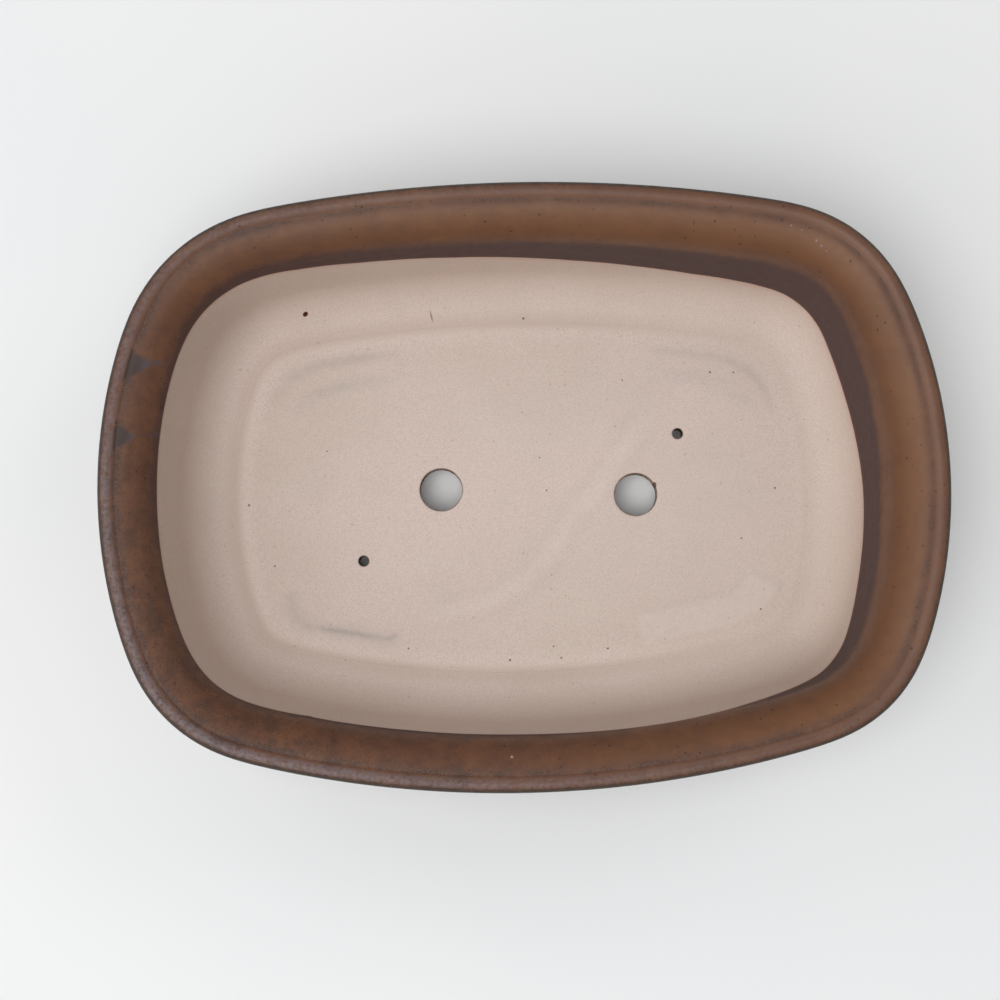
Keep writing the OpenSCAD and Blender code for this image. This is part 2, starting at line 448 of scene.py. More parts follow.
def line_depth(ring):
    depth = round_value(LINE_DEPTHS, bearings(ring))
    p = np.concatenate([ring.outline(20), np.zeros((ring.count, 1))], 1)
    front = p[:, 1] < 0
    depth = depth + front * swell(p[:, 0], NOTCH, 5.0) * (0.5 + 0.9 * (p[:, 0] < NOTCH))
    return depth + 0.5 * value_noise(p, 30.0, 3.0) + 0.25 * value_noise(p, 9.0, 4.0)


def line_gap(ring, x, z):
    """How far below the glaze line each point lies, in millimetres."""
    return (POT_HEIGHT - line_depth(ring))[:, None] - z


def seam_share(x):
    """How clearly the seam shows, in its groove and in its painted shade and highlight: less
    towards the right-hand end.
    """
    return 0.3 + 0.7 * ease((85.0 - x) / 70.0)


def seam_dip(gap, x):
    """Shallow groove along the seam; gap grows from the seam in over the floor."""
    return seam_share(x) * (0.34 * swell(gap, 0.0, 3.0) - 0.14 * swell(gap, 6.0, 3.6))


# ---------------------------------------------------------------- floor
FOOT_INSET = 54.5
FOOT_WIDTH = 11.0
FOOT_LONG_TIP = 44.0
FOOT_SHORT_TIP = 28.0

# A foot's side, as height above the table at the full foot height of 8 and growth outwards
FOOT_SIDE = (
    (0.0, -1.6), (0.08, -0.9), (0.35, -0.42), (0.8, -0.14), (1.4, 0.0), (3.0, 0.02),
    (4.8, 0.06), (6.2, 0.16), (7.1, 0.42), (7.7, 0.9), (8.0, 1.5),
)

# Rounding of the holes' edges over and under the floor
EDGE_OVER = 0.85
EDGE_UNDER = 0.5

# Rings of mesh points round a hole, as distances from its edge, and what they keep clear
RING_GAPS = (0.0, 0.12, 0.3, 0.55, 0.9, 1.5)
RING_CLEAR = 2.1

# Holes narrower than this radius are for the tie wire
WIRE_MOST = 4.0

# Marks over three feet: which corner (left or right, front or back), inset, width and rise,
# grey of the edges, paleness of the pad
FOOT_MARKS = (
    (-1, 1, 54.5, 10.5, 0.26, 0.28, 0.0),
    (1, 1, 54.0, 9.5, 0.24, 0.20, 0.0),
    (1, -1, 53.0, 12.0, 0.50, 0.07, 0.28),
)

# A soft ridge that runs in an S across the floor, where two slabs of clay were pressed together
SLAB_JOIN = ((55, 37), (49, 31), (37, 16), (30, 3), (20, -6), (14, -17), (9, -24), (-1, -34),
             (-12, -40), (-24, -44), (-36, -45), (-46, -47))

# A thin crease over the front left foot
CREASE = (
    (-88, -34), (-87.2, -43), (-83.3, -48), (-80, -49.6), (-64, -52), (-50, -54.3), (-45.3, -51),
)


def foot_path(across, back, inset=FOOT_INSET, bend=4.5):
    """Middle line of a corner's bracket foot, from its long leg's tip to its short leg's."""
    line = Round(1.0).outline(inset)
    keep = (line[:, 0] * across > FOOT_LONG_TIP) & (line[:, 1] * back > FOOT_SHORT_TIP)
    line = line[keep]
    middle = math.atan2(back * 0.7, across)
    order = np.argsort((np.arctan2(line[:, 1], line[:, 0]) - middle + math.pi) % math.tau)
    line = line[order]
    if abs(line[0][0]) > abs(line[-1][0]):
        line = line[::-1]
    return softened(line, bend, 0.4)


def distance_to(points, line):
    """Distance of each 2D point from a polyline, and how far along it that is, from 0 to 1."""
    line = np.asarray(line, float)
    seg = np.hypot(*np.diff(line, axis=0).T)
    start = np.concatenate([[0], np.cumsum(seg)])
    best, where = np.full(len(points), 1e9), np.zeros(len(points))
    for k in range(len(seg)):
        d = line[k + 1] - line[k]
        t = np.clip((points - line[k]) @ d / (seg[k] ** 2), 0, 1)
        gap = np.hypot(*(points - line[k] - t[:, None] * d).T)
        closer = gap < best
        best = np.where(closer, gap, best)
        where = np.where(closer, (start[k] + t * seg[k]) / start[-1], where)
    return best, where


def faded(along, share):
    """1 along most of a line, falling to 0 at both its ends."""
    return ease(along / share) * ease((1 - along) / share)


def foot_mark(points, across, back, inset, width, height):
    """Where a foot was pressed on from below: a low pad with soft grey edges."""
    away, along = distance_to(points, foot_path(across, back, inset, 8.0)[::4])
    pad = height * ease((width / 2 + 1.5 - away) / 3.0) * faded(along, 0.07)
    edges = swell(away, width / 2 - 0.3, 2.3) * faded(along, 0.3)
    return pad, edges


def floor_relief(points):
    """Height of the floor's surface above its plane, and how grey it is marked: grey marks, and
    painted shade and highlight along the crease and the slab join, paler below 0.
    """
    gap = inset_of(points) - SEAM_INSET
    height = toe_rise(gap) - seam_dip(gap, points[:, 0])
    flat = np.concatenate([points, np.zeros((len(points), 1))], 1)
    height += 0.09 * value_noise(flat, 38.0, 5.0)
    smear_and_painted_light = np.zeros(len(points))
    for across, back, inset, width, rise, grey, pale in FOOT_MARKS:
        pad, edges = foot_mark(points, across, back, inset, width, rise)
        height += pad
        smear_and_painted_light += grey * edges - pale * pad / rise
    away, along = distance_to(points, softened(np.array(CREASE, float), 1.5, 0.4)[::3])
    fade = faded(along, 0.1)
    deep = fade * (0.25 + 0.75 * ease((along - 0.25) / 0.2))
    height -= 0.22 * swell(away, 0.0, 1.0) * deep
    height += 0.14 * swell(away, 3.2, 2.4) * fade
    # Grey along the crease: partly a grey mark, partly painted shade in the crease
    smear_and_painted_light += 0.50 * swell(away, 0.1, 0.8) * deep + 0.20 * swell(away, 1.0, 2.6) * fade
    away, along = distance_to(points, softened(np.array(SLAB_JOIN, float), 5.0, 0.5)[::6])
    fade = faded(along, 0.15)
    height += 0.09 * swell(away, 0.0, 3.6) * fade
    # Painted highlight along the ridge and painted shade either side of it
    smear_and_painted_light += (0.08 * swell(away, 4.8, 2.6) - 0.20 * swell(away, 0.0, 3.0)) * fade
    return height, smear_and_painted_light


def holes():
    """The bores through the floor, as (centre, radius), from the record's mounts."""
    found = []
    for mount in frame["record"]["mounts"]:
        if mount["kind"] == "bore":
            centre = np.array(mount["pos_m"][:2]) / MM
            found.append((centre, mount["dims"]["r_mm"]))
    return found


def hole_rings(centre, radius):
    """Rings of points round a hole, close together at its edge, from the edge out."""
    count = 128 if radius > WIRE_MOST else 48
    t = np.arange(count) / count * math.tau
    ring = np.stack([np.cos(t), np.sin(t)], 1)
    return [centre + (radius + gap) * ring for gap in RING_GAPS]


def floor_points(ring):
    """Border, hole rings and a grid between them, and the loops that bound the sheet."""
    border = ring.outline(SEAM_INSET)
    points, loops = [border], [np.arange(len(border))]
    clear = []
    total = len(border)
    for centre, radius in holes():
        for k, loop in enumerate(hole_rings(centre, radius)):
            if k == 0:
                loops.append(np.arange(total, total + len(loop)))
            points.append(loop)
            total += len(loop)
        clear.append((centre, radius + RING_CLEAR))
    rows = FLOOR_STEP * math.sqrt(3) / 2
    half = (POT_LENGTH / 2, POT_WIDTH / 2)
    ys = np.arange(-half[1], half[1], rows)
    grid = np.array([
        (x + (k % 2) * FLOOR_STEP / 2, y)
        for k, y in enumerate(ys)
        for x in np.arange(-half[0], half[0], FLOOR_STEP)
    ])
    keep = inset_of(grid) > SEAM_INSET + 0.6 * FLOOR_STEP
    for centre, reach in clear:
        keep &= np.hypot(*(grid - centre).T) > reach
    points.append(grid[keep])
    return np.vstack(points), loops


def sheet_faces(points):
    """Triangles between the points, with those inside the holes left out."""
    flat = [Vector(p) for p in points]
    _, _, faces, *_ = geometry.delaunay_2d_cdt(flat, [], [], 0, 1e-6)
    faces = np.array([f for f in faces if len(f) == 3])
    middle = points[faces].mean(1)
    keep = np.ones(len(faces), bool)
    for centre, radius in holes():
        keep &= np.hypot(*(middle - centre).T) > radius
    return faces[keep]


def hole_gap(points):
    """How far each point lies from the nearest hole's edge."""
    return np.min([np.hypot(*(points - c).T) - r for c, r in holes()], axis=0)


def edge_drop(points, round_off):
    """Rounding of the holes' edges, as a drop below the sheet."""
    drop = np.zeros(len(points))
    for centre, radius in holes():
        gap = np.hypot(*(points - centre).T) - radius
        inside = np.clip(round_off - gap, 0, round_off)
        drop = np.maximum(drop, round_off - np.sqrt(round_off**2 - inside**2))
    return drop


def build_floor(ring):
    """The floor slab: relief on top, plain underneath, with rounded holes right through."""
    points, loops = floor_points(ring)
    faces = sheet_faces(points)
    count = len(points)
    relief, smear_and_painted_light = floor_relief(points)
    top = FLOOR_TOP + relief - edge_drop(points, EDGE_OVER)
    flat = np.concatenate([points, np.zeros((count, 1))], 1)
    under = FLOOR_LOW + edge_drop(points, EDGE_UNDER) + 0.05 * (1 + value_noise(flat, 26.0, 8.0))
    verts = np.vstack([np.column_stack([points, top]), np.column_stack([points, under])])
    ccw = [tuple(int(v) for v in f) for f in faces]
    all_faces = ccw + [tuple(count + v for v in reversed(f)) for f in ccw]
    for n, loop in enumerate(loops):
        for k, a in enumerate(loop):
            b = loop[(k + 1) % len(loop)]
            quad = (int(a), int(a) + count, int(b) + count, int(b))
            all_faces.append(quad if n == 0 else quad[::-1])
    obj = make_object("clay_floor", verts, all_faces)
    flags = np.zeros(2 * count, int)
    flags[loops[0]] = 1
    flags[loops[0] + count] = 2
    crease(obj, flags)
    give(obj, "line_gap", np.full(2 * count, LINE_FAR))
    give(obj, "climb", np.tile(SEAM_INSET - inset_of(points), 2))
    give(obj, "seam", np.tile(seam_share(points[:, 0]), 2))
    give(obj, "smear_and_painted_light", np.concatenate([smear_and_painted_light, np.zeros(count)]))
    give(obj, "hole_gap", np.tile(hole_gap(points), 2))
    return obj


# ---------------------------------------------------------------- feet
def stroke(path, width):
    """A closed outline of the given width round a path, with round ends."""
    path, _ = respaced(path, 1.2)
    along = np.gradient(path, axis=0)
    along /= np.hypot(*along.T)[:, None]
    side = np.stack([-along[:, 1], along[:, 0]], 1) * width / 2
    turn = np.linspace(0, math.pi, 13)[1:-1]

    def cap(end, direction):
        left = np.array([-direction[1], direction[0]])
        return [end + width / 2 * (math.cos(t) * left + math.sin(t) * direction) for t in turn]

    forward, backward = path + side, (path - side)[::-1]
    loop = np.vstack([forward, cap(path[-1], along[-1]), backward, cap(path[0], -along[0])])
    return loop[distance_to(loop, path)[0] > width / 2 - 0.05]


def build_foot(name, across, back):
    """A bracket foot: luted on with a soft fillet, straight sides, a rounded ground edge."""
    loop = stroke(foot_path(across, back), FOOT_WIDTH)
    if signed_area(loop) < 0:
        loop = loop[::-1]
    tangent = np.roll(loop, -1, 0) - np.roll(loop, 1, 0)
    tangent /= np.hypot(*tangent.T)[:, None]
    out = np.stack([tangent[:, 1], -tangent[:, 0]], 1)
    scale = FLOOR_LOW / FOOT_SIDE[-1][0]
    rings = []
    for height, grow in FOOT_SIDE:
        rings.append(np.column_stack([loop + grow * out, np.full(len(loop), height * scale)]))
    count = len(loop)
    verts = np.vstack(rings)
    wobble = value_noise(verts, 7.0, across * 2 + back)
    verts[:, :2] += np.tile(out, (len(FOOT_SIDE), 1)) * 0.18 * wobble[:, None]
    faces = [tuple(range(count))[::-1]]
    for i in range(len(FOOT_SIDE) - 1):
        for j in range(count):
            k = (j + 1) % count
            faces.append((i * count + j, i * count + k, (i + 1) * count + k, (i + 1) * count + j))
    top = (len(FOOT_SIDE) - 1) * count
    faces.append(tuple(range(top, top + count)))
    return plain_clay(make_object(name, verts, faces))


def plain_clay(obj):
    """Marks a piece of clay as far from the glaze line, the seam and the holes."""
    far = {"line_gap": LINE_FAR, "climb": -20.0, "seam": 0.0, "smear_and_painted_light": 0.1, "hole_gap": HOLE_FAR}
    for name, value in far.items():
        give(obj, name, np.full(len(obj.data.vertices), value))
    return obj


def build_rim(ring):
    """The coil of clay that makes the bead, under the glaze all round."""
    section = bead_arc(0, math.tau)[:-1:3]
    x, z = (np.tile(section[:, k], (ring.count, 1)) for k in (0, 1))
    points = ring.carry(x, z).reshape(-1, 3)
    return plain_clay(make_object("clay_rim", points, loop_faces(ring.count, len(section))))


def signed_area(loop):
    after = np.roll(loop, -1, 0)
    return 0.5 * float((loop[:, 0] * after[:, 1] - after[:, 0] * loop[:, 1]).sum())


# ---------------------------------------------------------------- glaze
def coat_mesh(ring, surface, ends, thickness, name):
    """A closed skin over a surface, from its start to each station's own end."""
    count = round(surface.length / PROFILE_STEP)
    under_count = count // 4
    share = np.linspace(0, 1, count + 1)[None, :]
    s = share * ends[:, None]
    under_s = np.linspace(1, 0, under_count + 1)[None, :] * ends[:, None]
    lift = thickness(s, ends[:, None] - s)
    x, z = surface.at(s, lift)
    under_x, under_z = surface.at(under_s, np.full_like(under_s, -0.06))
    x, z = np.hstack([x, under_x]), np.hstack([z, under_z])
    points = ring.carry(x, z).reshape(-1, 3)
    obj = make_object(name, points, loop_faces(ring.count, x.shape[1]))
    far = np.hstack([s, under_s])
    round_here = bearings(ring)
    give(obj, "lip_gap", far.ravel())
    give(obj, "line_gap", (ends[:, None] - far).ravel())
    give(obj, "break_gap", (round_value(BREAKS, round_here)[:, None] - far).ravel())
    give(obj, "mottle", np.repeat(round_value(MOTTLES, round_here), far.shape[1]))
    give(obj, "run", runs(points, far.ravel()))
    return obj


def runs(points, far):
    """How much dark glaze has run down from the lip's groove at each point."""
    found = np.zeros(len(points))
    left = points[:, 0] < -60
    for y, reach, half in RUNS:
        wander = 1.2 * value_noise(points, 6.0, 11.0)
        tongue = half * (1 - np.clip((far - 4.5) / (reach - 4.5), 0, 1) ** 1.3)
        inside = ease((tongue - np.abs(points[:, 1] - y - 0.12 * (far - 8)) + wander) / 1.4 + 0.5)
        found = np.maximum(found, inside * ease((far - 4.0) / 1.5) * left)
    return found


def build_inner_glaze(ring):
    line = np.vstack([
        bead_arc(math.radians(COAT_SPLIT), groove_bearing()),
        inside_line(),
    ])
    surface = Surface(softened(line, 0.6), flip=False)
    ends = surface.where_height(POT_HEIGHT - line_depth(ring))
    p = np.concatenate([ring.outline(10), np.zeros((ring.count, 1))], 1)
    thick = value_noise(p, 22.0, 6.0)[:, None]

    def thickness(s, gap):
        edge = 0.12 + 0.88 * ease(gap / 2.2)
        pooled = 0.10 * swell(gap, 3.0, 2.4)
        return COAT * edge * (1 - 0.12 * ease((s - 6) / 4) * (1 + thick)) + pooled

    return coat_mesh(ring, surface, ends, thickness, "inner_coat")


def build_outer_glaze(ring):
    line = np.vstack([bead_arc(math.radians(COAT_SPLIT), -QUARTER), outside_line()])
    surface = Surface(softened(line, 0.35), flip=True)
    p = np.concatenate([ring.outline(25), np.zeros((ring.count, 1))], 1)
    stop = OUTER_COAT_STOP + 0.9 * (1 + value_noise(p, 24.0, 7.0)) + 0.3 * value_noise(p, 6.0, 9.0)
    ends = surface.where_height(stop)

    def thickness(s, gap):
        return COAT * (0.15 + 0.85 * ease(gap / 1.8)) + 0 * s

    return coat_mesh(ring, surface, ends, thickness, "outer_coat")


# ---------------------------------------------------------------- materials
class Nodes:
    """Short hand for building one material's node tree."""

    def __init__(self, name):
        self.material = bpy.data.materials.new(name)
        self.material.use_nodes = True
        self.tree = self.material.node_tree
        self.shader = self.tree.nodes["Principled BSDF"]

    def add(self, kind, settings=None, **inputs):
        made = self.tree.nodes.new("ShaderNode" + kind)
        for key, value in (settings or {}).items():
            setattr(made, key, value)
        for key, value in inputs.items():
            self.feed(made.inputs[key.replace("_", " ")], value)
        return made

    def feed(self, socket, value):
        if isinstance(value, bpy.types.NodeSocket):
            self.tree.links.new(value, socket)
        else:
            socket.default_value = value

    def place(self):
        return self.add("TexCoord").outputs["Object"]

    def attribute(self, name):
        return self.add("Attribute", {"attribute_name": name}).outputs["Fac"]

    def noise(self, size_mm, detail=2.0, roughness=0.5, stretch=None):
        at = self.place()
        if stretch:
            at = self.add("Mapping", None, Vector=at, Scale=stretch).outputs["Vector"]
        made = self.add("TexNoise", None, Vector=at, Scale=1 / (size_mm * MM), Detail=detail,
                        Roughness=roughness)
        return made.outputs["Fac"]

    def math(self, operation, a, b=None, clamp=False):
        made = self.add("Math", {"operation": operation, "use_clamp": clamp})
        self.feed(made.inputs[0], a)
        if b is not None:
            self.feed(made.inputs[1], b)
        return made.outputs[0]

    def span(self, value, low, high, to_low=0.0, to_high=1.0):
        """Smoothly maps value from low..high to to_low..to_high."""
        made = self.add("MapRange", {"interpolation_type": "SMOOTHSTEP"}, Value=value,
                        From_Min=low, From_Max=high, To_Min=to_low, To_Max=to_high)
        return made.outputs["Result"]

    def mix(self, share, a, b):
        """Colour a with a share of colour b over it."""
        made = self.add("Mix", {"data_type": "RGBA"})
        self.feed(made.inputs[0], share)
        self.feed(made.inputs[6], a)
        self.feed(made.inputs[7], b)
        return made.outputs[2]

    def specks(self, cell_mm, size_mm, share):
        """Sparse round specks: 1 inside a speck, 0 elsewhere."""
        made = self.add("TexVoronoi", {"feature": "F1"}, Vector=self.place(),
                        Scale=1 / (cell_mm * MM))
        parts = self.add("SeparateColor", None, Color=made.outputs["Color"])
        chosen = self.math("LESS_THAN", parts.outputs[0], share)
        size = self.math("MULTIPLY", parts.outputs[1], size_mm / cell_mm)
        inside = self.math("LESS_THAN", made.outputs["Distance"], size)
        return self.math("MULTIPLY", chosen, inside)

    def spot(self, centre_mm, radius_mm, soft_mm=0.25, stretch=(1, 1), turn=0.0):
        """1 on a spot of the plan view, 0 off it; the spot may be stretched and turned."""
        moved = self.add("VectorMath", {"operation": "SUBTRACT"})
        self.feed(moved.inputs[0], self.place())
        moved.inputs[1].default_value = (centre_mm[0] * MM, centre_mm[1] * MM, 0)
        turned = self.add("VectorRotate", {"rotation_type": "Z_AXIS"}, Vector=moved.outputs[0],
                          Angle=-turn)
        scaled = self.add("VectorMath", {"operation": "MULTIPLY"})
        self.feed(scaled.inputs[0], turned.outputs[0])
        scaled.inputs[1].default_value = (1 / (stretch[0] * MM), 1 / (stretch[1] * MM), 0)
        away = self.add("VectorMath", {"operation": "LENGTH"})
        self.feed(away.inputs[0], scaled.outputs[0])
        return self.span(away.outputs["Value"], radius_mm - soft_mm, radius_mm + soft_mm, 1.0, 0.0)

    def bump(self, height, distance_mm, strength):
        made = self.add("Bump", None, Height=height, Distance=distance_mm * MM, Strength=strength)
        return made.outputs["Normal"]


def srgb(red, green, blue):
    """A colour given as 0-255 sRGB, as a linear colour with alpha."""
    def linear(c):
        c /= 255
        return c / 12.92 if c <= 0.04045 else ((c + 0.055) / 1.055) ** 2.4
    return (linear(red), linear(green), linear(blue), 1.0)


# Dark iron specks on the floor and the lower wall: x, y and radius
IRON_SPECKS = (
    (0.6, 68.6, 0.45), (9.4, 2.4, 0.35), (6.7, 14.9, 0.3), (-74.5, 17.3, 0.3), (-104, -3.4, 0.45),
    (72.1, 47.8, 0.4), (81.1, 47.7, 0.35), (38.5, 44.7, 0.3), (96.6, 3.3, 0.4), (83.6, -15.9, 0.35),
    (90.6, -42.9, 0.35), (-4.6, -62.2, 0.45), (11.9, -57, 0.35), (14.8, -61.3, 0.35),
    (32.5, -57.8, 0.4), (-43.1, -57.8, 0.35), (-94, -26.6, 0.35),
)

# Centres of the wire holes, whose walls get painted shade, near black, and how far the painted
# shade reaches
WIRE_SHADE_REACH = 1.98
WIRE_HOLES = [tuple(centre) for centre, radius in holes() if radius < WIRE_MOST]

# Pale blisters, a pinhole and a stuck chip of clay in the glaze: x, y, radius and colour
BLISTERS = (
    (94.6, 91.9, 0.32, (178, 138, 120)), (98.4, 90.2, 0.25, (170, 132, 112)),
    (103.6, 86.6, 0.4, (150, 132, 138)), (105.4, 84.8, 0.45, (146, 128, 134)),
    (107.2, 83.0, 0.3, (140, 120, 124)), (73.0, 98.2, 0.42, (52, 34, 26)),
    (-4.6, -95.2, 0.42, (206, 190, 176)),
)


def clay_material():
    """Fine pinkish stoneware, bare and matt, with grain, specks and a few iron spots."""
    n = Nodes("bare_clay")
    climb, hole = n.attribute("climb"), n.attribute("hole_gap")
    cloud = n.span(n.noise(42, 3), 0.35, 0.68)
    colour = n.mix(cloud, srgb(216, 198, 189), srgb(211, 194, 183))
    streak = n.span(n.noise(16, 4, 0.6, (0.5, 1.0, 1.0)), 0.42, 0.75, 0.0, 0.35)
    colour = n.mix(streak, colour, srgb(218, 203, 190))
    # Painted highlight on the slab's raised edge just in from the seam, as strong as the seam shows
    edge = n.math("MULTIPLY", n.span(climb, -9.0, -3.4), n.span(climb, -3.0, 0.2, 1.0, 0.0))
    seam = n.attribute("seam")
    pale = n.math("MULTIPLY", n.math("MULTIPLY", edge, seam), 0.45)
    colour = n.mix(pale, colour, srgb(224, 209, 200))
    # Painted shade in the seam's groove, as strong as the seam shows
    groove = n.math("MULTIPLY", n.span(climb, -3.6, 0.6), n.span(climb, 0.8, 6.5, 1.0, 0.0))
    deep = n.math("MULTIPLY", n.math("MULTIPLY", groove, seam), 0.32)
    colour = n.mix(deep, colour, srgb(184, 161, 143))
    # Browner and darker up the steep wall: partly a fume tint from the glaze, partly painted shade
    # and bounce light
    colour = n.mix(n.span(climb, 3.0, 19.0, 0.0, 0.26), colour, srgb(188, 164, 140))
    grain = n.span(n.noise(0.55, 3, 0.9), 0.40, 0.66, 0.0, 0.62)
    colour = n.mix(grain, colour, srgb(186, 167, 154))
    # Grey marks on the floor, with painted shade and painted highlight along its crease and slab
    # join
    smear_and_painted_light = n.math("MULTIPLY", n.attribute("smear_and_painted_light"), n.span(n.noise(5, 3), 0.3, 0.6, 0.5, 1.1))
    colour = n.mix(n.math("MAXIMUM", smear_and_painted_light, 0.0), colour, srgb(163, 156, 148))
    colour = n.mix(n.math("MULTIPLY", smear_and_painted_light, -0.8, True), colour, srgb(224, 212, 204))
    blush = n.span(n.attribute("line_gap"), -0.5, 3.0, 0.45, 0.0)
    colour = n.mix(blush, colour, srgb(200, 150, 128))
    few = n.math("MULTIPLY", n.specks(2.7, 0.5, 0.20), 0.32)
    colour = n.mix(few, colour, srgb(150, 120, 98))
    for x, y, radius in IRON_SPECKS:
        spot = n.math("MULTIPLY", n.spot((x, y), radius, 0.12), 0.8)
        colour = n.mix(spot, colour, srgb(96, 58, 40))
    iron = n.spot((-82.7, 69.5), 0.85, 0.15, (1.25, 0.9), 0.6)
    hair = n.spot((-34.7, 69.3), 1.0, 0.5, (0.32, 2.0), 0.25)
    chip = n.spot((50.6, 4.4), 1.0, 0.2, (0.75, 1.15), 0.1)
    colour = n.mix(iron, colour, srgb(70, 30, 18))
    colour = n.mix(n.math("MULTIPLY", hair, 0.6), colour, srgb(90, 74, 64))
    colour = n.mix(n.math("MULTIPLY", chip, 0.9), colour, srgb(92, 56, 36))
    # Painted shade: darker brown on the holes' walls and just round their edges
    rim = n.span(hole, 0.05, 0.5, 1.0, 0.0)
    rim = n.math("MULTIPLY", rim, n.span(n.noise(4, 3), 0.3, 0.6, 0.4, 0.9))
    colour = n.mix(rim, colour, srgb(104, 78, 62))
    for x, y in WIRE_HOLES:
        # Painted shade, near black, in the narrow wire holes and just round them
        colour = n.mix(n.spot((x, y), WIRE_SHADE_REACH, 0.12), colour, srgb(52, 32, 24))
    n.feed(n.shader.inputs["Base Color"], colour)
    n.shader.inputs["Roughness"].default_value = 0.86
    n.shader.inputs["Specular IOR Level"].default_value = 0.25
    fine = n.math("ADD", n.noise(0.45, 3, 0.7), n.math("MULTIPLY", n.noise(2.4, 2), 1.5))
    n.feed(n.shader.inputs["Normal"], n.bump(fine, 0.05, 0.5))
    return n.material


def speckle(n, size_mm, share):
    """Fine dark specks from thresholded noise; the share runs from 0, none, to 1, most."""
    threshold = n.span(share, 0.0, 1.0, 0.68, 0.46)
    over = n.math("SUBTRACT", n.noise(size_mm, 2, 0.9), threshold)
    return n.math("MULTIPLY", over, 16.0, True)


def bead_sheen_band(n, lip):
    """One over the bead, fading at its outer edge and into the groove: where the painted sheen
    goes.
    """
    return n.math("MULTIPLY", n.span(lip, 1.0, 2.0), n.span(lip, 3.6, 5.2, 1.0, 0.0))


